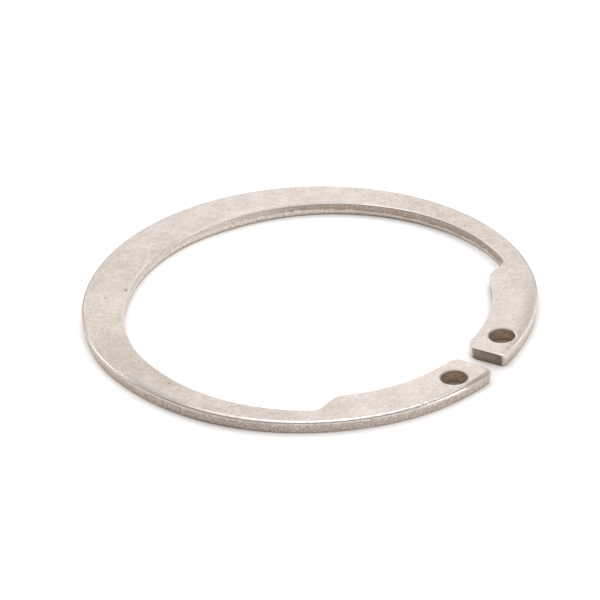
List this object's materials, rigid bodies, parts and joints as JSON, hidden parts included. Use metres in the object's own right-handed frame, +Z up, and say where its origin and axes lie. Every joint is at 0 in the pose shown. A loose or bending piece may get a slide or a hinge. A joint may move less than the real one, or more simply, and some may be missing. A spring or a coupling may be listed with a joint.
{
  "type": "snap ring",
  "caption": "Flat stamped ring that snaps into a shaft's groove: round rim, inward lugs with plier holes beside an open gap, and sides that taper from a wide back.",
  "frame": {"origin": "centre of the rim's circle, on the bottom face", "axes": "+Z up through the ring's thickness, along the shaft; the gap between the lugs is towards -Y"},
  "size_m": [0.04, 0.0399, 0.0012],
  "materials": {
    "steel": "tumbled satin stainless steel"
  },
  "bodies": {
    "root": {"snap_ring": "steel"}
  },
  "joints": []
}
